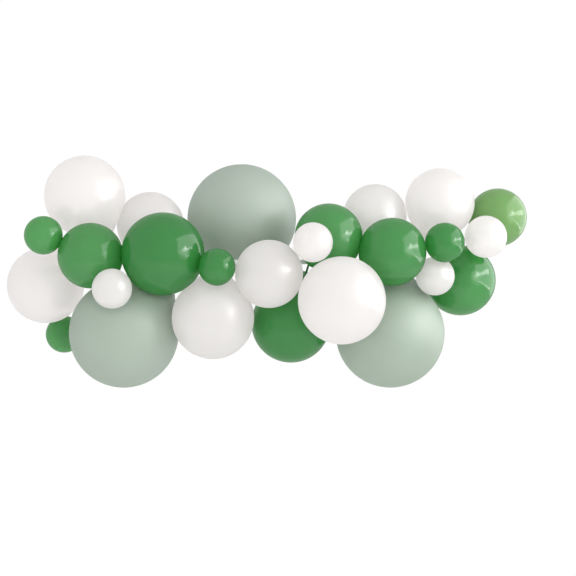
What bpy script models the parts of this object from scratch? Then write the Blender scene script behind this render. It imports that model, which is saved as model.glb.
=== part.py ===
"""Balloon garland: sage, green and white latex balloons tied by their necks through a plastic strip.

The strip runs along X behind the front balloons, with its back face on the plane y = 0. Most of the
balloons have a neck that runs through a hole of the strip, with the knot on the far side. The small
ones and the last one on the right are seated on a neighbour, with the knot tucked into the hollow
beside it. Balloons that meet press each other flat.
"""

from collections import namedtuple
from math import acos, cos, pi, sin, sqrt, tau

import bmesh
import bpy
from mathutils import Vector

# Garland strip: a thin band with a row of holes for the necks, and a thicker eye at each end to hang it by
STRIP_LENGTH = 1.190
STRIP_WIDTH = 0.014
STRIP_THICKNESS = 0.001
STRIP_CORNER = 0.003
HOLE_DIAMETER = 0.009
HOLE_COUNT = 24
HOLE_INSET = 0.043
HOLE_SIDES = 8
EYE_LENGTH = 0.024
EYE_THICKNESS = 0.003
EYE_HOLE_INSET = 0.015
CORNER_POINTS = 3

# Sizes of balloon when filled
LARGE = 0.342
BIG = 0.254
MIDDLING = 0.205
SMALL = 0.120

# Clearances and the way the latex gives
GAP = 0.0003
PRESS = 0.002
NECK_ROOM = 0.0015
SOFTNESS = 0.012
TEARDROP = 1.30
BIG_TEARDROP = 1.58
SMALL_TEARDROP = 1.14
LEAST_TEARDROP = 1.02
FACING_LEAST = 0.1
LIMIT_SHARE = 1.05

# Neck of a tied balloon: how far off the strip it straightens up, and where it turns square to it
ENTRY_RUN = 0.025
ENTRY_SHARE = 0.6
SQUARE_RUN = 0.003
BEND_RUN = 0.022

# Places along a neck, its knot and its tail that the other balloons keep clear of
GUARD_STEP = 0.008
GUARD_START = 0.95
GUARD_TAIL = 0.75

# Fineness of the faceted bodies
BODY_POINTS = 104
SMALL_BODY_POINTS = 70
PATCH_POINTS = 4
PATCH_SHARE = 0.55

Neck = namedtuple("Neck", "radius knot_radius knot_face knot_length tail_length lip_radius sides")
TIED_NECK = Neck(0.0034, 0.0065, 0.0008, 0.007, 0.010, 0.0070, 8)
SMALL_NECK = Neck(0.0032, 0.0055, 0.0008, 0.006, 0.008, 0.0058, 6)
SMALL_NECK_RUN = 0.005
NECK_ROOT = 0.008
KNOT_FACE_SHARE = 0.9

Latex = namedtuple("Latex", "name colour roughness")
WHITE = Latex("white_latex", (0.86, 0.84, 0.84), 0.35)
GREEN = Latex("green_latex", (0.075, 0.31, 0.085), 0.22)
LIME_GREEN = Latex("lime_green_latex", (0.15, 0.39, 0.11), 0.22)
SAGE = Latex("sage_latex", (0.42, 0.50, 0.43), 0.42)
CLEAR_PLASTIC = Latex("strip_plastic", (0.80, 0.82, 0.82), 0.30)

FRONT, BACK = -1, 1

# Balloons tied to the strip. Full is the diameter as a share of its size, and lean is how far the middle
# is from the hole, in the balloon's own radii. The neck goes into the hole from the front or the back.
Tied = namedtuple("Tied", "name latex size full lean hole side")
TIED = (
    Tied("sage_balloon_lower_left", SAGE, LARGE, 0.995, (-0.864, -0.232, -1.308), 6, FRONT),
    Tied("sage_balloon_top", SAGE, LARGE, 1.030, (-0.142, 0.769, 0.812), 11, BACK),
    Tied("sage_balloon_lower_right", SAGE, LARGE, 1.006, (-0.186, 0.148, -1.308), 21, BACK),
    Tied("large_white_balloon_upper_left", WHITE, BIG, 1.000, (-0.654, 0.004, 1.638), 2, BACK),
    Tied("white_balloon_behind_left", WHITE, MIDDLING, 1.041, (-0.234, 0.473, 1.097), 5, BACK),
    Tied("white_balloon_far_left", WHITE, BIG, 0.969, (-1.049, 0.898, -0.585), 0, BACK),
    Tied("white_balloon_centre", WHITE, MIDDLING, 1.010, (-0.280, -1.589, -0.377), 13, FRONT),
    Tied("white_balloon_lower_centre", WHITE, BIG, 0.996, (-0.079, -0.866, -1.375), 9, FRONT),
    Tied("large_white_balloon_front", WHITE, BIG, 1.038, (-0.379, -1.703, -0.903), 18, FRONT),
    Tied("white_balloon_behind_right", WHITE, MIDDLING, 0.985, (0.168, 0.401, 1.456), 19, BACK),
    Tied("white_balloon_upper_right", WHITE, MIDDLING, 1.068, (0.703, 0.187, 1.708), 22, BACK),
    Tied("green_balloon_left", GREEN, MIDDLING, 0.980, (0.010, -1.289, 0.169), 1, FRONT),
    Tied("large_green_balloon_left", GREEN, BIG, 0.996, (-0.506, -1.182, 0.174), 7, FRONT),
    Tied("green_balloon_lower_centre", GREEN, BIG, 0.980, (-0.466, -0.076, -1.543), 15, FRONT),
    Tied("green_balloon_centre_right", GREEN, MIDDLING, 1.030, (0.095, -0.895, 0.696), 16, FRONT),
    Tied("green_balloon_right", GREEN, MIDDLING, 1.020, (0.124, -1.096, 0.278), 20, FRONT),
    Tied("green_balloon_lower_right", GREEN, MIDDLING, 1.108, (0.933, 1.061, -0.502), 23, BACK),
)

# Balloons not tied: the neighbour each one sits on, the way out from it, and where the knot points
Seated = namedtuple("Seated", "name latex size full seat toward tuck neck")
SEATED = (
    Seated("green_balloon_far_right", LIME_GREEN, MIDDLING, 0.907, "white_balloon_upper_right",
           toward=(0.192, 0.049, -0.044), tuck=(-0.80, 0.0, -0.55), neck=TIED_NECK),
    Seated("small_green_balloon_far_left", GREEN, SMALL, 0.983, "green_balloon_left",
           toward=(-0.141, 0.0, 0.061), tuck=(0.30, 0.90, -0.10), neck=SMALL_NECK),
    Seated("small_white_balloon_left", WHITE, SMALL, 1.000, "sage_balloon_lower_left",
           toward=(-0.015, -0.173, 0.133), tuck=(0.15, 0.90, 0.35), neck=SMALL_NECK),
    Seated("small_green_balloon_lower_left", GREEN, SMALL, 1.008, "white_balloon_far_left",
           toward=(0.052, 0.070, -0.168), tuck=(0.50, -0.85, 0.10), neck=SMALL_NECK),
    Seated("small_green_balloon_centre", GREEN, SMALL, 0.933, "large_green_balloon_left",
           toward=(0.167, -0.055, -0.041), tuck=(0.0, 1.0, 0.10), neck=SMALL_NECK),
    Seated("small_white_balloon_centre", WHITE, SMALL, 0.990, "green_balloon_centre_right",
           toward=(-0.050, -0.150, -0.019), tuck=(-0.25, 0.85, -0.45), neck=SMALL_NECK),
    Seated("small_white_balloon_right", WHITE, SMALL, 1.092, "green_balloon_far_right",
           toward=(-0.056, -0.132, -0.067), tuck=(0.25, 0.85, -0.45), neck=SMALL_NECK),
    Seated("small_green_balloon_right", GREEN, SMALL, 1.017, "green_balloon_right",
           toward=(0.163, 0.0, 0.029), tuck=(0.10, 1.0, 0.0), neck=SMALL_NECK),
    Seated("small_white_balloon_lower_right", WHITE, SMALL, 1.005, "green_balloon_right",
           toward=(0.139, 0.050, -0.075), tuck=(0.30, 0.90, -0.35), neck=SMALL_NECK),
)


def clear_scene():
    for item in list(bpy.data.objects):
        bpy.data.objects.remove(item, do_unlink=True)


def principled(latex):
    """A Principled material for one latex colour, or for the strip's plastic."""
    found = bpy.data.materials.get(latex.name)
    if found:
        return found
    material = bpy.data.materials.new(latex.name)
    material.use_nodes = True
    shader = material.node_tree.nodes["Principled BSDF"]
    shader.inputs["Base Color"].default_value = (*latex.colour, 1.0)
    shader.inputs["Roughness"].default_value = latex.roughness
    shader.inputs["Metallic"].default_value = 0.0
    material.diffuse_color = (*latex.colour, 1.0)
    return material


def hole_place(number):
    """The middle of a hole of the strip, counted from the left."""
    first = STRIP_LENGTH / 2 - HOLE_INSET
    return Vector((first * (2 * number / (HOLE_COUNT - 1) - 1), -STRIP_THICKNESS / 2, 0.0))


class Balloon:
    """A balloon's ball, the way its neck leaves it, and the room that its neck needs."""

    def __init__(self, name, latex, radius, centre, neck):
        self.name = name
        self.latex = latex
        self.radius = radius
        self.centre = centre
        self.neck = neck
        self.limits = []
        self.patches = []

    def tie(self, hole, side, teardrop):
        """The neck bends until it is square to the strip and goes through its hole."""
        place = hole_place(hole)
        self.through = Vector((0.0, -side, 0.0))
        room = (self.centre - place).length - self.radius
        entry = min(ENTRY_RUN, ENTRY_SHARE * room)
        self.aim = place - self.through * (STRIP_THICKNESS / 2 + entry)
        self.square = place - self.through * (STRIP_THICKNESS / 2 + SQUARE_RUN)
        self.knot = place + self.through * (STRIP_THICKNESS / 2 + GAP)
        out = self.aim - self.centre
        self.axis = out.normalized()
        self.tip = max(min(out.length, teardrop * self.radius), LEAST_TEARDROP * self.radius)

    def tuck(self, direction):
        """The neck goes straight out, into the hollow between the neighbours."""
        self.axis = Vector(direction).normalized()
        self.through = self.axis
        self.tip = SMALL_TEARDROP * self.radius
        self.aim = None

    def neck_length(self):
        return self.neck.knot_length + self.neck.tail_length

    def guards(self):
        """Balls along the neck, knot and tail that every other balloon keeps clear of."""
        neck = self.neck
        wide = max(neck.knot_radius, neck.lip_radius) + NECK_ROOM
        if self.aim is None:
            end = self.tip + SMALL_NECK_RUN + self.neck_length()
            steps = int((end - self.radius) / GUARD_STEP) + 1
            reaches = [self.radius + (end - self.radius) * k / steps for k in range(steps + 1)]
            return [(self.centre + self.axis * reach, wide) for reach in reaches]
        thin = neck.radius + NECK_ROOM
        start = GUARD_START * self.radius
        end = (self.aim - self.centre).length
        steps = max(int((end - start) / GUARD_STEP), 1)
        places = [self.centre + self.axis * (start + (end - start) * k / steps) for k in range(steps + 1)]
        places.append((self.aim + self.square) / 2)
        places.append(self.square)
        found = [(place, thin) for place in places]
        for run in (neck.knot_length / 2, self.neck_length() * GUARD_TAIL):
            found.append((self.knot + self.through * run, wide))
        return found

    def keep_clear(self, others):
        """Limits each way: halfway to each neighbour, off its neck, and off the strip."""
        for other in others:
            if other is self:
                continue
            between = other.centre - self.centre
            apart = between.length
            flat = (apart**2 + self.radius**2 - other.radius**2) / (2 * apart)
            self.limits.append((between / apart, flat - GAP / 2))
            if flat < self.radius:
                self.patches.append((between / apart, flat))
            for place, radius in other.guards():
                way = place - self.centre
                self.limits.append((way.normalized(), way.length - radius - GAP))
        self.limits += self.strip_limits()
        furthest = self.tip * LIMIT_SHARE
        self.limits = [(way, reach) for way, reach in self.limits if reach < furthest]

    def strip_limits(self):
        """The planes square to the shortest ways from the balloon's middle to the strip and its eyes."""
        x, y, z = self.centre
        end = STRIP_LENGTH / 2
        eye = end - EYE_LENGTH
        found = []
        for left, right, thickness in (
            (-end, end, STRIP_THICKNESS),
            (-end, -eye, EYE_THICKNESS),
            (eye, end, EYE_THICKNESS),
        ):
            near = Vector((
                min(max(x, left), right),
                min(max(y, -thickness), 0.0),
                min(max(z, -STRIP_WIDTH / 2), STRIP_WIDTH / 2),
            ))
            way = near - self.centre
            found.append((way.normalized(), way.length - GAP))
        return found

    def reach(self, direction):
        """How far the skin is from the middle in a direction: a ball drawn out to its tip, then pressed."""
        angle = acos(max(-1.0, min(1.0, direction.dot(self.axis))))
        tangent = acos(self.radius / self.tip)
        found = self.radius / cos(max(tangent - angle, 0.0))
        for way, flat in self.limits:
            facing = direction.dot(way)
            if facing > FACING_LEAST:
                found = soft_min(found, flat / facing, SOFTNESS * self.radius)
        return found


def soft_min(a, b, blend):
    """The lesser of two lengths, with the corner between them rounded off inwards."""
    near = max(blend - abs(a - b), 0.0) / blend
    return min(a, b) - near * near * blend / 4


def side_axes(axis):
    side = axis.orthogonal().normalized()
    return side, axis.cross(side)


def circle_points(middle, axis, radius, sides):
    """Points evenly round a circle, square to its axis."""
    side, rise = side_axes(axis)
    turns = [tau * k / sides for k in range(sides)]
    return [middle + side * (radius * cos(a)) + rise * (radius * sin(a)) for a in turns]


def spread_directions(count, axis):
    """Directions spread evenly over a ball by the golden angle."""
    side, rise = side_axes(axis)
    golden = pi * (3 - sqrt(5))
    found = []
    for k in range(count):
        along = 1 - (2 * k + 1) / count
        across = sqrt(1 - along * along)
        found.append(axis * along + side * (across * cos(golden * k)) + rise * (across * sin(golden * k)))
    return found


def patch_directions(balloon):
    """Directions round each flat that a neighbour presses, so that the facets there lie in its plane."""
    found = []
    for way, flat in balloon.patches:
        width = sqrt(balloon.radius**2 - flat**2) * PATCH_SHARE
        found.append(way)
        found += [p.normalized() for p in circle_points(way * flat, way, width, PATCH_POINTS)]
    return found


def body_mesh(balloon, count):
    """The pressed ball, drawn out to its tip, as the convex hull of points on its skin."""
    bm = bmesh.new()
    directions = spread_directions(count, balloon.axis) + patch_directions(balloon) + [balloon.axis]
    points = [bm.verts.new(d * balloon.reach(d)) for d in directions]
    hull = bmesh.ops.convex_hull(bm, input=points)
    spare = [v for v in hull["geom_interior"] + hull["geom_unused"] if isinstance(v, bmesh.types.BMVert)]
    bmesh.ops.delete(bm, geom=list(set(spare)), context="VERTS")
    return bm


def neck_rings(balloon):
    """Middle, direction and radius of each ring, from inside the ball's tip to the end of the tail."""
    neck = balloon.neck
    tip = balloon.axis * balloon.reach(balloon.axis)
    rings = [(tip - balloon.axis * NECK_ROOT, balloon.axis, neck.radius)]
    if balloon.aim is None:
        knot = tip + balloon.through * SMALL_NECK_RUN
    else:
        knot = balloon.knot - balloon.centre
        aim = balloon.aim - balloon.centre
        square = balloon.square - balloon.centre
        start = tip
        if (aim - tip).length > BEND_RUN:
            start = aim - balloon.axis * BEND_RUN
            rings.append((start, balloon.axis, neck.radius))
        halfway = start / 4 + aim / 2 + square / 4
        rings.append((halfway, (square - start).normalized(), neck.radius))
        rings.append((square, balloon.through, neck.radius))
    profile = (
        (0.0, neck.radius),
        (neck.knot_face, neck.knot_radius * KNOT_FACE_SHARE),
        (neck.knot_length / 2, neck.knot_radius),
        (neck.knot_length, neck.radius),
        (neck.knot_length + neck.tail_length, neck.lip_radius),
    )
    return rings + [(knot + balloon.through * run, balloon.through, radius) for run, radius in profile]


def neck_mesh(balloon):
    """Neck, knot and tail as one closed tube of rings."""
    bm = bmesh.new()
    sides = balloon.neck.sides
    before = None
    for middle, direction, radius in neck_rings(balloon):
        points = circle_points(middle, direction, radius, sides)
        if before is None:
            before = [bm.verts.new(point) for point in points]
            bm.faces.new(before)
            continue
        turn = min(range(sides), key=lambda k: twist(before, points, k))
        ring = [bm.verts.new(points[(k + turn) % sides]) for k in range(sides)]
        for k in range(sides):
            after = (k + 1) % sides
            bm.faces.new((before[k], before[after], ring[after], ring[k]))
        before = ring
    bm.faces.new(before)
    return bm


def twist(before, points, turn):
    """How far the points of a ring are from those before it when it is turned by so many places."""
    return sum((before[k].co - points[(k + turn) % len(points)]).length for k in range(len(points)))


def add_object(name, bm, place, latex, parent):
    bmesh.ops.recalc_face_normals(bm, faces=bm.faces)
    mesh = bpy.data.meshes.new(name)
    bm.to_mesh(mesh)
    bm.free()
    mesh.shade_smooth()
    mesh.set_sharp_from_angle(angle=pi / 4)
    mesh.materials.append(principled(latex))
    made = bpy.data.objects.new(name, mesh)
    bpy.context.scene.collection.objects.link(made)
    made.location = place
    made.parent = parent
    return made


def make_balloon(balloon, count, parent):
    """The ball, joined to its neck by a union with the neck's own tube."""
    made = add_object(balloon.name, body_mesh(balloon, count), balloon.centre, balloon.latex, parent)
    neck = add_object(balloon.name + "_neck", neck_mesh(balloon), balloon.centre, balloon.latex, parent)
    neck.hide_render = True
    neck.display_type = "WIRE"
    union = made.modifiers.new("neck", "BOOLEAN")
    union.operation = "UNION"
    union.solver = "EXACT"
    union.object = neck


def strip_outline():
    """The strip's outline in the XZ plane, with round corners."""
    points = []
    half, rise = STRIP_LENGTH / 2 - STRIP_CORNER, STRIP_WIDTH / 2 - STRIP_CORNER
    for corner, (right, up) in enumerate(((1, 1), (-1, 1), (-1, -1), (1, -1))):
        for k in range(CORNER_POINTS):
            angle = pi / 2 * (corner + k / (CORNER_POINTS - 1))
            points.append((right * half + STRIP_CORNER * cos(angle), up * rise + STRIP_CORNER * sin(angle)))
    return points


def hole_outline(middle):
    turns = [tau * (k + 0.5) / HOLE_SIDES for k in range(HOLE_SIDES)]
    radius = HOLE_DIAMETER / 2
    return [(middle + radius * cos(a), radius * sin(a)) for a in turns]


def push_forward(bm, faces, distance):
    """Extrudes flat faces toward the front, and gives back the faces now in front."""
    pushed = bmesh.ops.extrude_face_region(bm, geom=faces)
    moved = [v for v in pushed["geom"] if isinstance(v, bmesh.types.BMVert)]
    bmesh.ops.translate(bm, verts=moved, vec=(0.0, -distance, 0.0))
    return [f for f in pushed["geom"] if isinstance(f, bmesh.types.BMFace)]


def make_strip(parent):
    """The flat strip with its row of holes and a thicker eye at each end, its back face on y = 0."""
    bm = bmesh.new()
    edges = []
    hang = STRIP_LENGTH / 2 - EYE_HOLE_INSET
    middles = [-hang] + [hole_place(k).x for k in range(HOLE_COUNT)] + [hang]
    for outline in [strip_outline()] + [hole_outline(middle) for middle in middles]:
        ring = [bm.verts.new((x, 0.0, z)) for x, z in outline]
        edges += [bm.edges.new((ring[k - 1], ring[k])) for k in range(len(ring))]
    bmesh.ops.triangle_fill(bm, edges=edges, use_beauty=True)
    eye = STRIP_LENGTH / 2 - EYE_LENGTH
    for side in (-1, 1):
        sheet = list(bm.verts) + list(bm.edges) + list(bm.faces)
        bmesh.ops.bisect_plane(bm, geom=sheet, plane_co=(side * eye, 0.0, 0.0), plane_no=(1.0, 0.0, 0.0))
    front = push_forward(bm, list(bm.faces), STRIP_THICKNESS)
    eyes = [face for face in front if abs(face.calc_center_median().x) > eye]
    push_forward(bm, eyes, EYE_THICKNESS - STRIP_THICKNESS)
    bmesh.ops.delete(bm, geom=eyes, context="FACES")
    return add_object("garland_strip", bm, (0.0, 0.0, 0.0), CLEAR_PLASTIC, parent)


def lay_out():
    """Every balloon in its place, with its neck led and its neighbours' limits known."""
    balloons = {}
    for row in TIED:
        radius = row.size * row.full / 2
        centre = hole_place(row.hole) + Vector(row.lean) * radius
        balloon = Balloon(row.name, row.latex, radius, centre, TIED_NECK)
        balloon.tie(row.hole, row.side, TEARDROP if row.size == MIDDLING else BIG_TEARDROP)
        balloons[row.name] = balloon
    for row in SEATED:
        radius = row.size * row.full / 2
        seat = balloons[row.seat]
        centre = seat.centre + Vector(row.toward).normalized() * (seat.radius + radius - PRESS)
        balloon = Balloon(row.name, row.latex, radius, centre, row.neck)
        balloon.tuck(row.tuck)
        balloons[row.name] = balloon
    for balloon in balloons.values():
        balloon.keep_clear(balloons.values())
    return balloons


def main():
    clear_scene()
    garland = bpy.data.objects.new("garland", None)
    bpy.context.scene.collection.objects.link(garland)
    make_strip(garland)
    for balloon in lay_out().values():
        count = BODY_POINTS if balloon.neck is TIED_NECK else SMALL_BODY_POINTS
        make_balloon(balloon, count, garland)


main()
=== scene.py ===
"""Balloon garland: the finished look of the sage, green and white latex balloons and their plastic strip.

Every balloon is one skin that runs from its crown to its neck, through its knot and out to the rolled
rim of its tail. The ball is pressed flat where it meets a neighbour.
"""

from collections import namedtuple
from math import acos, cos, pi, radians, sin, tau

import bmesh
import bpy
import numpy as np
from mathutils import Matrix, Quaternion, Vector


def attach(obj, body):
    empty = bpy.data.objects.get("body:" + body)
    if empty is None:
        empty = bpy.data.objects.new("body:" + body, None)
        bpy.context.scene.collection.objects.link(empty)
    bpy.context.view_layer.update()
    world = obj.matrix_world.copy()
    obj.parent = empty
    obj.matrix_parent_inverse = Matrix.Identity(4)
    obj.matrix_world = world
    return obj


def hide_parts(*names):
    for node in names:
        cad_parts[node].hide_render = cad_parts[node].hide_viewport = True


# Garland strip, with its back face in the plane y = 0
STRIP_LENGTH = 1.190
STRIP_WIDTH = 0.014
STRIP_THICKNESS = 0.001
STRIP_CORNER = 0.003
HOLE_DIAMETER = 0.009
HOLE_COUNT = 24
HOLE_INSET = 0.043
EYE_LENGTH = 0.024
EYE_THICKNESS = 0.003
EYE_HOLE_INSET = 0.015
CORNER_SIDES = 8
HOLE_SIDES = 32
EDGE_ROUND = 0.0002
EDGE_SEGMENTS = 2
SHARP_ANGLE = pi / 5

# Sizes of balloon when filled, across the ball
LARGE = 0.342
BIG = 0.254
MIDDLING = 0.205
SMALL = 0.120

# Clearances and the way the latex gives. A teardrop is how far the tip is drawn out, in radii.
GAP = 0.0003
PRESS = 0.002
NECK_ROOM = 0.0015
SOFTNESS = 0.030
TEARDROP = 1.30
BIG_TEARDROP = 1.58
SMALL_TEARDROP = 1.14
LEAST_TEARDROP = 1.02
FACING_LEAST = 0.1
LIMIT_SHARE = 1.05

# How the neck of a tied balloon enters its hole, and the balls that guard it
ENTRY_RUN = 0.025
ENTRY_SHARE = 0.6
SQUARE_RUN = 0.003
BEND_RUN = 0.022
GUARD_STEP = 0.008
GUARD_START = 0.95
GUARD_TAIL = 0.75

# How the skin narrows from the ball to the neck
SHOULDER = 2.6
SHOULDER_SINE_MOST = 0.9
SHOULDER_RINGS = 8
SHOULDER_REACH = 0.6
LEAST_SLOPE = 0.35
LEAST_STEP = 1e-6
THICKENS_FROM = 0.62

# Steps along the neck
SMALL_NECK_RUN = 0.005
SMALL_NECK_STEPS = 3
LEAST_NECK_RUN = 0.001
NECK_STEP = 0.006
BEND_STEPS = 8

# Knot, tail and rolled rim: rings of each, and the folds of the latex in them
KNOT_RINGS, TAIL_RINGS, RIM_RINGS = 12, 8, 8
KNOT_POWER = 0.6
KNOT_MOST = 1.04
TAIL_POWER = 1.5
TAIL_MOST = 1.12
RIM_TURN = 1.5
Fold = namedtuple("Fold", "height count twist")
KNOT_FOLDS = (Fold(0.07, 2, 7), Fold(0.05, 3, 9))
TAIL_FOLDS = (Fold(0.10, 5, 0), Fold(0.04, 3, 1))

# Rings inside the tail's mouth, by depth and by share of the rim's radius
MOUTH = ((0.0015, 0.80), (0.0035, 0.62), (0.0055, 0.40), (0.0068, 0.16))

Neck = namedtuple("Neck", "radius knot_radius knot_length tail_length lip_radius bead")
TIED_NECK = Neck(0.0034, 0.0065, 0.007, 0.010, 0.0070, 0.0011)
SMALL_NECK = Neck(0.0032, 0.0055, 0.006, 0.008, 0.0058, 0.0009)

# Balloons tied to the strip. The lean is from the hole to the ball's middle, in the ball's own radii.
FRONT, BACK = -1, 1
Tied = namedtuple("Tied", "name latex size full lean hole side")
TIED = (
    Tied("sage_balloon_lower_left", "sage", LARGE, 0.995, (-0.864, -0.232, -1.308), 6, FRONT),
    Tied("sage_balloon_top", "sage", LARGE, 1.030, (-0.142, 0.769, 0.812), 11, BACK),
    Tied("sage_balloon_lower_right", "sage", LARGE, 1.006, (-0.186, 0.148, -1.308), 21, BACK),
    Tied("large_white_balloon_upper_left", "white", BIG, 1.000, (-0.654, 0.004, 1.638), 2, BACK),
    Tied("white_balloon_behind_left", "white", MIDDLING, 1.041, (-0.234, 0.473, 1.097), 5, BACK),
    Tied("white_balloon_far_left", "white", BIG, 0.969, (-1.049, 0.898, -0.585), 0, BACK),
    Tied("white_balloon_centre", "white", MIDDLING, 1.010, (-0.280, -1.589, -0.377), 13, FRONT),
    Tied("white_balloon_lower_centre", "white", BIG, 0.996, (-0.079, -0.866, -1.375), 9, FRONT),
    Tied("large_white_balloon_front", "white", BIG, 1.038, (-0.379, -1.703, -0.903), 18, FRONT),
    Tied("white_balloon_behind_right", "white", MIDDLING, 0.985, (0.168, 0.401, 1.456), 19, BACK),
    Tied("white_balloon_upper_right", "white", MIDDLING, 1.068, (0.703, 0.187, 1.708), 22, BACK),
    Tied("green_balloon_left", "green", MIDDLING, 0.980, (0.010, -1.289, 0.169), 1, FRONT),
    Tied("large_green_balloon_left", "green", BIG, 0.996, (-0.506, -1.182, 0.174), 7, FRONT),
    Tied("green_balloon_lower_centre", "green", BIG, 0.980, (-0.466, -0.076, -1.543), 15, FRONT),
    Tied("green_balloon_centre_right", "green", MIDDLING, 1.030, (0.095, -0.895, 0.696), 16, FRONT),
    Tied("green_balloon_right", "green", MIDDLING, 1.020, (0.124, -1.096, 0.278), 20, FRONT),
    Tied("green_balloon_lower_right", "green", MIDDLING, 1.108, (0.933, 1.061, -0.502), 23, BACK),
)

# Balloons that sit on a neighbour, in a direction from its middle, with the neck tucked away
Seated = namedtuple("Seated", "name latex size full seat toward tuck neck")
SEATED = (
    Seated("green_balloon_far_right", "lime_green", MIDDLING, 0.907, "white_balloon_upper_right",
           toward=(0.192, 0.049, -0.044), tuck=(-0.80, 0.0, -0.55), neck=TIED_NECK),
    Seated("small_green_balloon_far_left", "green", SMALL, 0.983, "green_balloon_left",
           toward=(-0.141, 0.0, 0.061), tuck=(0.30, 0.90, -0.10), neck=SMALL_NECK),
    Seated("small_white_balloon_left", "white", SMALL, 1.000, "sage_balloon_lower_left",
           toward=(-0.015, -0.173, 0.133), tuck=(0.15, 0.90, 0.35), neck=SMALL_NECK),
    Seated("small_green_balloon_lower_left", "green", SMALL, 1.008, "white_balloon_far_left",
           toward=(0.052, 0.070, -0.168), tuck=(0.50, -0.85, 0.10), neck=SMALL_NECK),
    Seated("small_green_balloon_centre", "green", SMALL, 0.933, "large_green_balloon_left",
           toward=(0.167, -0.055, -0.041), tuck=(0.0, 1.0, 0.10), neck=SMALL_NECK),
    Seated("small_white_balloon_centre", "white", SMALL, 0.990, "green_balloon_centre_right",
           toward=(-0.050, -0.150, -0.019), tuck=(-0.25, 0.85, -0.45), neck=SMALL_NECK),
    Seated("small_white_balloon_right", "white", SMALL, 1.092, "green_balloon_far_right",
           toward=(-0.056, -0.132, -0.067), tuck=(0.25, 0.85, -0.45), neck=SMALL_NECK),
    Seated("small_green_balloon_right", "green", SMALL, 1.017, "green_balloon_right",
           toward=(0.163, 0.0, 0.029), tuck=(0.10, 1.0, 0.0), neck=SMALL_NECK),
    Seated("small_white_balloon_lower_right", "white", SMALL, 1.005, "green_balloon_right",
           toward=(0.139, 0.050, -0.075), tuck=(0.30, 0.90, -0.35), neck=SMALL_NECK),
)

# Latex: its deep and pale tones, the darker and lighter ends of each balloon's painted light and shade,
# its tone by the neck, the tone of the light it lets through and the share of it, and its gloss and fine
# grain
Latex = namedtuple("Latex", "deep pale dense glow index sheen roughness through grain")
LATEX = {
    "white": Latex(
        deep=(0.758, 0.735, 0.735), pale=(0.848, 0.825, 0.823),
        dense=(0.86, 0.84, 0.82), glow=(0.90, 0.876, 0.872),
        index=2.06, sheen=1.0, roughness=0.32, through=0.68, grain=0.04,
    ),
    "sage": Latex(
        deep=(0.368, 0.446, 0.366), pale=(0.420, 0.488, 0.424),
        dense=(0.34, 0.40, 0.35), glow=(0.44, 0.52, 0.44),
        index=1.60, sheen=1.0, roughness=0.52, through=0.42, grain=0.05,
    ),
    "green": Latex(
        deep=(0.036, 0.208, 0.052), pale=(0.113, 0.364, 0.122),
        dense=(0.02, 0.12, 0.03), glow=(0.14, 0.48, 0.15),
        index=1.60, sheen=0.65, roughness=0.11, through=0.55, grain=0.04,
    ),
    "lime_green": Latex(
        deep=(0.17, 0.34, 0.11), pale=(0.19, 0.37, 0.13),
        dense=(0.05, 0.17, 0.03), glow=(0.26, 0.46, 0.16),
        index=1.55, sheen=0.5, roughness=0.13, through=0.42, grain=0.04,
    ),
}

# Painted light and shade: how far each balloon's tone lies from the deep one of its latex to the pale
# one. Balloons nearer the deep tone are painted darker, as if in more shade, and those nearer the pale
# tone lighter, as if more lit
PAINTED_LIGHT_PALENESS = {
    "large_white_balloon_upper_left": 0.9,
    "white_balloon_behind_left": 1.0,
    "white_balloon_far_left": 0.8,
    "white_balloon_centre": 0.2,
    "white_balloon_lower_centre": 0.2,
    "large_white_balloon_front": 0.0,
    "white_balloon_behind_right": 1.0,
    "white_balloon_upper_right": 0.8,
    "small_white_balloon_left": 0.8,
    "small_white_balloon_centre": 0.2,
    "small_white_balloon_right": 0.1,
    "small_white_balloon_lower_right": 0.8,
    "sage_balloon_lower_left": 0.6,
    "sage_balloon_top": 1.0,
    "sage_balloon_lower_right": 0.0,
    "small_green_balloon_far_left": 0.9,
    "green_balloon_left": 0.7,
    "large_green_balloon_left": 0.15,
    "small_green_balloon_lower_left": 0.85,
    "small_green_balloon_centre": 0.2,
    "green_balloon_lower_centre": 0.1,
    "green_balloon_centre_right": 0.7,
    "green_balloon_right": 0.45,
    "small_green_balloon_right": 0.2,
    "green_balloon_lower_right": 0.55,
    "green_balloon_far_right": 0.5,
}

# Unevenness of the latex
CLOUD_SCALE, CLOUD_DETAIL = 6.0, 3.0
FINE_SCALE, FINE_DETAIL = 420.0, 2.0
CLOUD_LOW, CLOUD_HIGH = 0.3, 0.7
DARKEST, LIGHTEST = 0.96, 1.04
NECK_STRENGTH = 0.8
ROUGHNESS_SPREAD = 0.03
GRAIN_DEPTH = 0.0004

# Plastic of the strip
PLASTIC_SCALE, PLASTIC_DETAIL = 60.0, 4.0
PLASTIC_DARK, PLASTIC_LIGHT = (0.74, 0.77, 0.77), (0.86, 0.88, 0.88)
PLASTIC_SMOOTH, PLASTIC_ROUGH = 0.22, 0.38
SCUFF_STRENGTH, SCUFF_DEPTH = 0.2, 0.0002

# Stage
FLOOR_CORNERS = ((-6, -6, 0), (6, -6, 0), (6, 3, 0), (-6, 3, 0))
FLOOR_LEVEL = -1.75
FLOOR_TONE = (0.96, 0.96, 0.96)
FLOOR_ROUGHNESS = 0.9
WORLD_STRENGTH = 1.02

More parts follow.
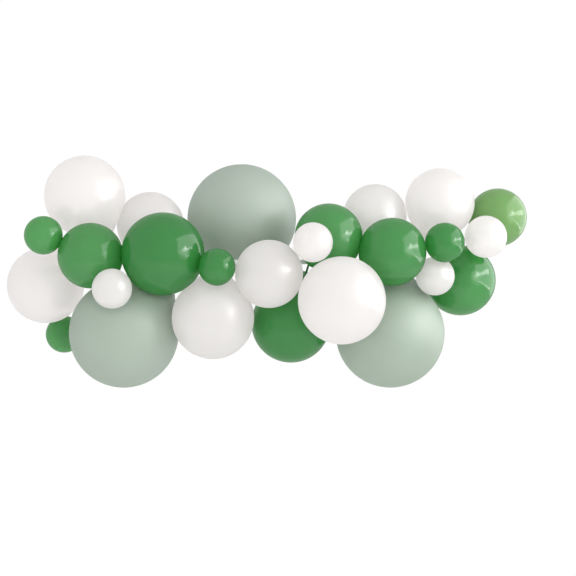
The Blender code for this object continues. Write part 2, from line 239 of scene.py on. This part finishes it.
# Softboxes. Those that shine make up a window on the right and are only seen in reflections. Those that
# fill only light the shade, and face the garland's middle.
SHINE, FILL = "shine", "fill"
GARLAND_MIDDLE = (0.1, 0.0, 0.0)
Lamp = namedtuple("Lamp", "name place size roll radiance work")
LAMPS = (
    Lamp("window", (2.30, -0.20, 0.88), (4.80, 2.60), 11.0, 2.5, SHINE),
    Lamp("window_band", (2.25, -0.55, 0.46), (2.20, 0.30), 0.0, 6.5, SHINE),
    Lamp("window_pane", (2.22, -1.10, 0.66), (0.42, 0.34), 0.0, 9.0, SHINE),
    Lamp("window_sill", (2.28, -0.20, -0.37), (1.80, 0.07), 11.0, 8.0, SHINE),
    Lamp("window_side", (2.20, -1.55, -0.05), (1.30, 1.10), 0.0, 1.4, SHINE),
    Lamp("side", (2.80, -1.00, 0.80), (1.80, 1.80), 0.0, 4.6, FILL),
    Lamp("front", (0.10, -3.60, 0.50), (7.00, 4.00), 0.0, 1.1, FILL),
)

# Camera: it looks along +Y, and takes in VIEW_WIDTH at the strip
CAMERA_DISTANCE = 4.5
CAMERA_RIGHT, CAMERA_UP = 0.1008, -0.0819
SENSOR_WIDTH = 36.0
VIEW_WIDTH = 1.8144
CLIP_END = 100.0

# Fineness of the skins: rings from the crown to the shoulder, and points round each ring
BODY_RINGS, BODY_SIDES = 84, 128
SMALL_RINGS, SMALL_SIDES = 60, 96


def hole_place(number):
    """The middle of a hole of the strip, counted from the left."""
    first = STRIP_LENGTH / 2 - HOLE_INSET
    return Vector((first * (2 * number / (HOLE_COUNT - 1) - 1), -STRIP_THICKNESS / 2, 0.0))


class Balloon:
    """A balloon's ball, the way its neck leaves it, and the room that its neck needs."""

    def __init__(self, name, latex, radius, centre, neck):
        self.name = name
        self.latex = latex
        self.radius = radius
        self.centre = centre
        self.neck = neck
        self.limits = []

    def tie(self, hole, side, teardrop):
        """The neck bends until it is square to the strip and goes through its hole."""
        place = hole_place(hole)
        self.through = Vector((0.0, -side, 0.0))
        room = (self.centre - place).length - self.radius
        entry = min(ENTRY_RUN, ENTRY_SHARE * room)
        self.aim = place - self.through * (STRIP_THICKNESS / 2 + entry)
        self.square = place - self.through * (STRIP_THICKNESS / 2 + SQUARE_RUN)
        self.knot = place + self.through * (STRIP_THICKNESS / 2 + GAP)
        out = self.aim - self.centre
        self.axis = out.normalized()
        self.tip = max(min(out.length, teardrop * self.radius), LEAST_TEARDROP * self.radius)

    def tuck(self, direction):
        """The neck goes straight out, into the hollow between the neighbours."""
        self.axis = Vector(direction).normalized()
        self.through = self.axis
        self.tip = SMALL_TEARDROP * self.radius
        self.aim = None

    def guards(self):
        """Balls along the neck, knot and tail that every other balloon keeps clear of."""
        neck = self.neck
        wide = max(neck.knot_radius, neck.lip_radius) + NECK_ROOM
        length = neck.knot_length + neck.tail_length
        if self.aim is None:
            end = self.tip + SMALL_NECK_RUN + length
            steps = int((end - self.radius) / GUARD_STEP) + 1
            reaches = [self.radius + (end - self.radius) * k / steps for k in range(steps + 1)]
            return [(self.centre + self.axis * reach, wide) for reach in reaches]
        thin = neck.radius + NECK_ROOM
        start = GUARD_START * self.radius
        end = (self.aim - self.centre).length
        steps = max(int((end - start) / GUARD_STEP), 1)
        runs = [start + (end - start) * k / steps for k in range(steps + 1)]
        places = [self.centre + self.axis * run for run in runs]
        places.append((self.aim + self.square) / 2)
        places.append(self.square)
        found = [(place, thin) for place in places]
        for run in (neck.knot_length / 2, length * GUARD_TAIL):
            found.append((self.knot + self.through * run, wide))
        return found

    def keep_clear(self, others):
        """Limits each way: halfway to each neighbour, off its neck, and off the strip."""
        for other in others:
            if other is self:
                continue
            between = other.centre - self.centre
            apart = between.length
            flat = (apart**2 + self.radius**2 - other.radius**2) / (2 * apart)
            self.limits.append((between / apart, flat - GAP / 2))
            for place, radius in other.guards():
                way = place - self.centre
                self.limits.append((way.normalized(), way.length - radius - GAP))
        self.limits += self.strip_limits()
        furthest = self.tip * LIMIT_SHARE
        self.limits = [(way, reach) for way, reach in self.limits if reach < furthest]

    def strip_limits(self):
        """The planes square to the shortest ways from the balloon's middle to the strip and its eyes."""
        x, y, z = self.centre
        end = STRIP_LENGTH / 2
        eye = end - EYE_LENGTH
        found = []
        for left, right, thickness in (
            (-end, end, STRIP_THICKNESS),
            (-end, -eye, EYE_THICKNESS),
            (eye, end, EYE_THICKNESS),
        ):
            near = Vector((
                min(max(x, left), right),
                min(max(y, -thickness), 0.0),
                min(max(z, -STRIP_WIDTH / 2), STRIP_WIDTH / 2),
            ))
            way = near - self.centre
            found.append((way.normalized(), way.length - GAP))
        return found

    def reach(self, directions):
        """How far the skin is from the middle each way: a ball drawn out to its tip, then pressed."""
        angle = np.arccos(np.clip(directions @ np.array(self.axis), -1.0, 1.0))
        tangent = acos(self.radius / self.tip)
        found = self.radius / np.cos(np.maximum(tangent - angle, 0.0))
        blend = SOFTNESS * self.radius
        for way, flat in self.limits:
            facing = directions @ np.array(way)
            limit = flat / np.maximum(facing, FACING_LEAST)
            near = np.maximum(blend - np.abs(found - limit), 0.0) / blend
            pressed = np.minimum(found, limit) - near * near * blend / 4
            found = np.where(facing > FACING_LEAST, pressed, found)
        return found


def lay_out():
    """Every balloon in its place, with its neck led and its neighbours' limits known."""
    balloons = {}
    for row in TIED:
        radius = row.size * row.full / 2
        centre = hole_place(row.hole) + Vector(row.lean) * radius
        balloon = Balloon(row.name, row.latex, radius, centre, TIED_NECK)
        balloon.tie(row.hole, row.side, TEARDROP if row.size == MIDDLING else BIG_TEARDROP)
        balloons[row.name] = balloon
    for row in SEATED:
        radius = row.size * row.full / 2
        seat = balloons[row.seat]
        centre = seat.centre + Vector(row.toward).normalized() * (seat.radius + radius - PRESS)
        balloon = Balloon(row.name, row.latex, radius, centre, row.neck)
        balloon.tuck(row.tuck)
        balloons[row.name] = balloon
    for balloon in balloons.values():
        balloon.keep_clear(balloons.values())
    return balloons


def side_axes(axis):
    """Two directions square to an axis and to each other."""
    side = Vector(axis).orthogonal().normalized()
    return side, Vector(axis).cross(side)


def bezier(points, share):
    """A point of the curve through the first and last of three points, drawn toward the middle one."""
    a, b, c = points
    return a * (1 - share) ** 2 + b * (2 * share * (1 - share)) + c * share**2


def neck_path(balloon, start):
    """Middles and directions along the neck, from the shoulder to the knot's near face."""
    axis = np.array(balloon.axis)
    if balloon.aim is None:
        knot = axis * (balloon.reach(axis[None])[0] + SMALL_NECK_RUN)
        shares = np.linspace(0.0, 1.0, SMALL_NECK_STEPS + 1)[1:]
        return [(start + (knot - start) * s, axis) for s in shares], knot
    aim = np.array(balloon.aim - balloon.centre)
    square = np.array(balloon.square - balloon.centre)
    knot = np.array(balloon.knot - balloon.centre)
    through = np.array(balloon.through)
    length = np.linalg.norm(aim - start)
    if np.dot(aim - start, axis) < 0:
        aim = start + axis * LEAST_NECK_RUN
        length = LEAST_NECK_RUN
    path = []
    bend = start
    if length > BEND_RUN:
        bend = aim - axis * BEND_RUN
        steps = max(int(length / NECK_STEP), 2)
        path += [(start + (bend - start) * k / steps, axis) for k in range(1, steps + 1)]
    for k in range(1, BEND_STEPS + 1):
        share = k / BEND_STEPS
        way = (aim - bend) * (1 - share) + (square - aim) * share
        path.append((bezier((bend, aim, square), share), way / np.linalg.norm(way)))
    path[-1] = (square, through)
    path.append((knot, through))
    return path, knot


def end_rings(balloon, knot, sides):
    """Rings of the knot, the pleated tail and its rolled rim, as middles, directions and radii."""
    neck = balloon.neck
    through = np.array(balloon.through)
    turns = tau * np.arange(sides) / sides
    rings = []
    first, second = KNOT_FOLDS
    for k in range(1, KNOT_RINGS):
        share = k / KNOT_RINGS
        swell = sin(pi * share) ** KNOT_POWER
        wrap = (
            1
            + first.height * np.sin(first.count * turns + first.twist * share) * swell
            + second.height * np.cos(second.count * turns - second.twist * share) * swell
        )
        radius = (neck.radius + (neck.knot_radius - neck.radius) * swell) * np.minimum(wrap, KNOT_MOST)
        rings.append((knot + through * neck.knot_length * share, radius))
    tail = knot + through * neck.knot_length
    run = neck.tail_length - neck.bead
    rim = neck.lip_radius - neck.bead
    first, second = TAIL_FOLDS
    for k in range(0, TAIL_RINGS + 1):
        share = k / TAIL_RINGS
        wide = neck.radius + (rim - neck.radius) * share**TAIL_POWER
        pleat = (
            1
            + first.height * share * (1 - share) * 4 * np.sin(first.count * turns + first.twist)
            + second.height * share * np.sin(second.count * turns + second.twist)
        )
        rings.append((tail + through * run * share, wide * np.minimum(pleat, TAIL_MOST)))
    for k in range(1, RIM_RINGS + 1):
        angle = -pi / 2 + pi * RIM_TURN * k / RIM_RINGS
        radius = rim + neck.bead * cos(angle)
        rings.append((tail + through * (run + neck.bead * sin(angle)), radius * np.ones(sides)))
    for depth, share in MOUTH:
        rings.append((tail + through * (run - depth), rim * share * np.ones(sides)))
    return rings


def skin(balloon, rings, sides):
    """The crown's point, all the rings from crown to rim, and how near each ring is to the neck."""
    axis = np.array(balloon.axis)
    side, rise = (np.array(v) for v in side_axes(balloon.axis))
    turns = tau * np.arange(sides) / sides
    around = np.cos(turns)[:, None] * side + np.sin(turns)[:, None] * rise
    neck = balloon.neck
    shoulder = SHOULDER * neck.radius
    sine = min(shoulder / balloon.reach(axis[None])[0], SHOULDER_SINE_MOST)
    last = pi - np.arcsin(sine)
    rows, near = [], []
    for k in range(1, rings + 1):
        angle = last * k / rings
        directions = -axis * cos(angle) + around * sin(angle)
        rows.append(directions * balloon.reach(directions)[:, None])
        near.append(max(0.0, (angle - pi * THICKENS_FROM) / (last - pi * THICKENS_FROM)))
    edge = rows[-1]
    before = rows[-2]
    along = edge @ axis
    wide = np.linalg.norm(edge - along[:, None] * axis, axis=1)
    along_before = before @ axis
    wide_before = np.linalg.norm(before - along_before[:, None] * axis, axis=1)
    slope = np.mean((wide_before - wide) / np.maximum(along - along_before, LEAST_STEP))
    run = (np.mean(wide) - neck.radius) / max(slope, LEAST_SLOPE)
    bend = np.mean(along) + run
    start = axis * (bend + SHOULDER_REACH * run)
    corner = axis * bend + around * neck.radius
    finish = start + around * neck.radius
    for k in range(1, SHOULDER_RINGS + 1):
        share = k / SHOULDER_RINGS
        rows.append(bezier((edge, corner, finish), share))
        near.append(1.0)
    path, knot = neck_path(balloon, start)
    for middle, way in path:
        way = Vector(way)
        across = Vector(side) - way * Vector(side).dot(way)
        across.normalize()
        up = way.cross(across)
        ring = np.cos(turns)[:, None] * np.array(across) + np.sin(turns)[:, None] * np.array(up)
        rows.append(middle + ring * neck.radius)
        near.append(1.0)
    # The knot and the tail run straight on, so they keep the last ring's directions
    for middle, radius in end_rings(balloon, knot, sides):
        rows.append(middle + ring * radius[:, None])
        near.append(1.0)
    return -axis * balloon.reach(-axis[None])[0], rows, near


def build_skin(balloon, rings, sides):
    """The balloon's object: one closed mesh, with its middle at the object's origin."""
    crown, rows, near = skin(balloon, rings, sides)
    count = len(rows)
    points = np.concatenate([crown[None]] + rows + [rows[-1].mean(axis=0)[None]])
    faces = [(0, 1 + (k + 1) % sides, 1 + k) for k in range(sides)]
    for r in range(count - 1):
        low, high = 1 + r * sides, 1 + (r + 1) * sides
        for k in range(sides):
            following = (k + 1) % sides
            faces.append((low + k, low + following, high + following, high + k))
    final = len(points) - 1
    low = 1 + (count - 1) * sides
    faces += [(low + k, low + (k + 1) % sides, final) for k in range(sides)]
    mesh = bpy.data.meshes.new(balloon.name)
    mesh.from_pydata([tuple(p) for p in points], [], faces)
    mesh.update()
    bm = bmesh.new()
    bm.from_mesh(mesh)
    bmesh.ops.recalc_face_normals(bm, faces=bm.faces)
    bm.to_mesh(mesh)
    bm.free()
    mesh.shade_smooth()
    thick = mesh.attributes.new("thick", "FLOAT", "POINT")
    values = [0.0] + [n for n in near for _ in range(sides)] + [1.0]
    thick.data.foreach_set("value", values)
    # Each balloon's painted light and shade, as one pale value on all its points
    pale = mesh.attributes.new("pale", "FLOAT", "POINT")
    pale.data.foreach_set("value", [PAINTED_LIGHT_PALENESS[balloon.name]] * len(points))
    made = bpy.data.objects.new(balloon.name + "_skin", mesh)
    bpy.context.scene.collection.objects.link(made)
    made.location = balloon.centre
    return made


def add_noise(tree, place, scale, detail):
    """Noise over the object's own coordinates."""
    noise = tree.nodes.new("ShaderNodeTexNoise")
    noise.inputs["Scale"].default_value = scale
    noise.inputs["Detail"].default_value = detail
    tree.links.new(place.outputs["Object"], noise.inputs["Vector"])
    return noise.outputs["Fac"]


def add_mix(tree, factor, low, high):
    """A tone between two, by a factor. Each of the two is a constant tone or another node's output."""
    mix = tree.nodes.new("ShaderNodeMix")
    mix.data_type = "RGBA"
    tree.links.new(factor, mix.inputs["Factor"])
    for socket, tone in ((mix.inputs["A"], low), (mix.inputs["B"], high)):
        if isinstance(tone, tuple):
            socket.default_value = (*tone, 1.0)
        else:
            tree.links.new(tone, socket)
    return mix.outputs["Result"]


def add_range(tree, value, low, high):
    """A value from 0 to 1, brought into a range."""
    scaled = tree.nodes.new("ShaderNodeMapRange")
    scaled.inputs["To Min"].default_value = low
    scaled.inputs["To Max"].default_value = high
    tree.links.new(value, scaled.inputs["Value"])
    return scaled


def add_attribute(tree, name):
    """A value that the mesh holds for each point."""
    attribute = tree.nodes.new("ShaderNodeAttribute")
    attribute.attribute_name = name
    return attribute.outputs["Fac"]


def add_bump(tree, shader, height, strength, depth):
    """Fine relief of the surface."""
    bump = tree.nodes.new("ShaderNodeBump")
    bump.inputs["Strength"].default_value = strength
    bump.inputs["Distance"].default_value = depth
    tree.links.new(height, bump.inputs["Height"])
    tree.links.new(bump.outputs["Normal"], shader.inputs["Normal"])


def latex_material(name, latex):
    """Stretched latex: even tone with each balloon's painted light and shade, denser by the neck, a
    little light let through, and a satin skin.
    """
    material = bpy.data.materials.new(name)
    material.use_nodes = True
    tree = material.node_tree
    nodes, links = tree.nodes, tree.links
    shader = nodes["Principled BSDF"]
    place = nodes.new("ShaderNodeTexCoord")
    cloud = add_noise(tree, place, CLOUD_SCALE, CLOUD_DETAIL)
    fine = add_noise(tree, place, FINE_SCALE, FINE_DETAIL)

    # Painted light and shade: each balloon's tone is set between the deep and the pale tone by the pale
    # value on its points
    tone = add_mix(tree, add_attribute(tree, "pale"), latex.deep, latex.pale)
    level = add_range(tree, cloud, DARKEST, LIGHTEST)
    level.inputs["From Min"].default_value = CLOUD_LOW
    level.inputs["From Max"].default_value = CLOUD_HIGH
    uneven = nodes.new("ShaderNodeHueSaturation")
    links.new(tone, uneven.inputs["Color"])
    links.new(level.outputs["Result"], uneven.inputs["Value"])
    strength = nodes.new("ShaderNodeMath")
    strength.operation = "MULTIPLY"
    strength.inputs[1].default_value = NECK_STRENGTH
    links.new(add_attribute(tree, "thick"), strength.inputs[0])
    neck = add_mix(tree, strength.outputs["Value"], uneven.outputs["Color"], latex.dense)
    links.new(neck, shader.inputs["Base Color"])

    rough = add_range(tree, cloud, latex.roughness - ROUGHNESS_SPREAD, latex.roughness + ROUGHNESS_SPREAD)
    links.new(rough.outputs["Result"], shader.inputs["Roughness"])
    shader.inputs["IOR"].default_value = latex.index
    shader.inputs["Specular IOR Level"].default_value = latex.sheen
    add_bump(tree, shader, fine, latex.grain, GRAIN_DEPTH)

    lit = nodes.new("ShaderNodeBsdfTranslucent")
    lit.inputs["Color"].default_value = (*latex.glow, 1.0)
    mixed = nodes.new("ShaderNodeMixShader")
    mixed.inputs["Fac"].default_value = latex.through
    links.new(shader.outputs["BSDF"], mixed.inputs[1])
    links.new(lit.outputs["BSDF"], mixed.inputs[2])
    links.new(mixed.outputs["Shader"], nodes["Material Output"].inputs["Surface"])
    return material


def plastic_material():
    """White plastic of the strip, slightly cloudy and finely scuffed."""
    material = bpy.data.materials.new("strip_look")
    material.use_nodes = True
    tree = material.node_tree
    shader = tree.nodes["Principled BSDF"]
    cloud = add_noise(tree, tree.nodes.new("ShaderNodeTexCoord"), PLASTIC_SCALE, PLASTIC_DETAIL)
    tone = add_mix(tree, cloud, PLASTIC_DARK, PLASTIC_LIGHT)
    tree.links.new(tone, shader.inputs["Base Color"])
    rough = add_range(tree, cloud, PLASTIC_SMOOTH, PLASTIC_ROUGH)
    tree.links.new(rough.outputs["Result"], shader.inputs["Roughness"])
    add_bump(tree, shader, cloud, SCUFF_STRENGTH, SCUFF_DEPTH)
    return material


def strip_outline():
    """The strip's outline in the XZ plane, with round corners."""
    points = []
    half, rise = STRIP_LENGTH / 2 - STRIP_CORNER, STRIP_WIDTH / 2 - STRIP_CORNER
    for corner, (right, up) in enumerate(((1, 1), (-1, 1), (-1, -1), (1, -1))):
        for k in range(CORNER_SIDES + 1):
            angle = pi / 2 * (corner + k / CORNER_SIDES)
            across = right * half + STRIP_CORNER * cos(angle)
            points.append((across, up * rise + STRIP_CORNER * sin(angle)))
    return points


def push_forward(bm, faces, distance):
    """Extrudes flat faces toward the front, and gives back the faces now in front."""
    pushed = bmesh.ops.extrude_face_region(bm, geom=faces)
    moved = [v for v in pushed["geom"] if isinstance(v, bmesh.types.BMVert)]
    bmesh.ops.translate(bm, verts=moved, vec=(0.0, -distance, 0.0))
    return [f for f in pushed["geom"] if isinstance(f, bmesh.types.BMFace)]


def build_strip():
    """The flat strip with its row of round holes and a thicker eye at each end."""
    bm = bmesh.new()
    edges = []
    hang = STRIP_LENGTH / 2 - EYE_HOLE_INSET
    middles = [-hang] + [hole_place(k).x for k in range(HOLE_COUNT)] + [hang]
    outlines = [strip_outline()]
    for middle in middles:
        turns = [tau * (k + 0.5) / HOLE_SIDES for k in range(HOLE_SIDES)]
        radius = HOLE_DIAMETER / 2
        outlines.append([(middle + radius * cos(turn), radius * sin(turn)) for turn in turns])
    for outline in outlines:
        ring = [bm.verts.new((x, 0.0, z)) for x, z in outline]
        edges += [bm.edges.new((ring[k - 1], ring[k])) for k in range(len(ring))]
    bmesh.ops.triangle_fill(bm, edges=edges, use_beauty=True)
    eye = STRIP_LENGTH / 2 - EYE_LENGTH
    for side in (-1, 1):
        sheet = list(bm.verts) + list(bm.edges) + list(bm.faces)
        bmesh.ops.bisect_plane(
            bm, geom=sheet, plane_co=(side * eye, 0.0, 0.0), plane_no=(1.0, 0.0, 0.0)
        )
    front = push_forward(bm, list(bm.faces), STRIP_THICKNESS)
    eyes = [face for face in front if abs(face.calc_center_median().x) > eye]
    push_forward(bm, eyes, EYE_THICKNESS - STRIP_THICKNESS)
    bmesh.ops.delete(bm, geom=eyes, context="FACES")
    bmesh.ops.recalc_face_normals(bm, faces=bm.faces)
    mesh = bpy.data.meshes.new("garland_strip_fine")
    bm.to_mesh(mesh)
    bm.free()
    mesh.shade_smooth()
    mesh.set_sharp_from_angle(angle=SHARP_ANGLE)
    made = bpy.data.objects.new("garland_strip_fine", mesh)
    bpy.context.scene.collection.objects.link(made)
    rounded = made.modifiers.new("edges", "BEVEL")
    rounded.width = EDGE_ROUND
    rounded.segments = EDGE_SEGMENTS
    rounded.limit_method = "ANGLE"
    rounded.harden_normals = True
    return made


def add_softbox(lamp):
    """A softbox that either shows in reflections, facing left, or fills the shade, facing the garland."""
    light = bpy.data.lights.new(lamp.name, "AREA")
    light.shape = "RECTANGLE"
    light.size, light.size_y = lamp.size
    light.energy = lamp.radiance * pi * lamp.size[0] * lamp.size[1]
    made = bpy.data.objects.new(lamp.name, light)
    bpy.context.scene.collection.objects.link(made)
    made.location = lamp.place
    fills = lamp.work == FILL
    way = Vector(GARLAND_MIDDLE) - Vector(lamp.place) if fills else Vector((-1.0, 0.0, 0.0))
    made.rotation_mode = "QUATERNION"
    turn = Quaternion(way, radians(lamp.roll))
    made.rotation_quaternion = turn @ way.to_track_quat("-Z", "Y")
    made.visible_diffuse = fills
    made.visible_transmission = fills
    made.visible_glossy = not fills


def make_stage():
    """White floor, white surroundings, the softboxes, and colours shown as they are."""
    mesh = bpy.data.meshes.new("floor")
    mesh.from_pydata(FLOOR_CORNERS, [], [(0, 1, 2, 3)])
    floor = bpy.data.objects.new("floor", mesh)
    floor.location = (0.0, 0.0, FLOOR_LEVEL)
    bpy.context.scene.collection.objects.link(floor)
    material = bpy.data.materials.new("floor_white")
    material.use_nodes = True
    shader = material.node_tree.nodes["Principled BSDF"]
    shader.inputs["Base Color"].default_value = (*FLOOR_TONE, 1.0)
    shader.inputs["Roughness"].default_value = FLOOR_ROUGHNESS
    mesh.materials.append(material)

    world = bpy.data.worlds.new("studio")
    world.use_nodes = True
    background = world.node_tree.nodes["Background"]
    background.inputs["Color"].default_value = (1.0, 1.0, 1.0, 1.0)
    background.inputs["Strength"].default_value = WORLD_STRENGTH
    bpy.context.scene.world = world
    for lamp in LAMPS:
        add_softbox(lamp)

    view = bpy.context.scene.view_settings
    view.view_transform = "Standard"
    view.look = "None"
    view.exposure = 0.0
    view.gamma = 1.0


def make_camera():
    """The camera before the garland, from the photograph's side."""
    camera = bpy.data.cameras.new("camera")
    camera.sensor_width = SENSOR_WIDTH
    camera.lens = SENSOR_WIDTH * CAMERA_DISTANCE / VIEW_WIDTH
    camera.clip_end = CLIP_END
    made = bpy.data.objects.new("camera", camera)
    made.location = (CAMERA_RIGHT, -CAMERA_DISTANCE, CAMERA_UP)
    made.rotation_euler = (radians(90), 0.0, 0.0)
    bpy.context.scene.collection.objects.link(made)
    bpy.context.scene.camera = made


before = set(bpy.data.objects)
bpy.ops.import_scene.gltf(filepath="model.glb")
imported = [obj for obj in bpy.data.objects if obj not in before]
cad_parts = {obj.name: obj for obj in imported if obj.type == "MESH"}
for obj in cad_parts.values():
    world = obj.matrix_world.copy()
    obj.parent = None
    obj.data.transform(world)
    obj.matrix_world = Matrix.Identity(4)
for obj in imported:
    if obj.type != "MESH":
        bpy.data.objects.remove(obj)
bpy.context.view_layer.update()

LOOKS = {name: latex_material(name + "_look", latex) for name, latex in LATEX.items()}
for balloon in lay_out().values():
    small = balloon.neck is SMALL_NECK
    fineness = (SMALL_RINGS, SMALL_SIDES) if small else (BODY_RINGS, BODY_SIDES)
    made = build_skin(balloon, *fineness)
    made.data.materials.append(LOOKS[balloon.latex])
    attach(made, "root")
    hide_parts(balloon.name)

strip = build_strip()
strip.data.materials.append(plastic_material())
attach(strip, "root")
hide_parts("garland_strip")

make_stage()
make_camera()
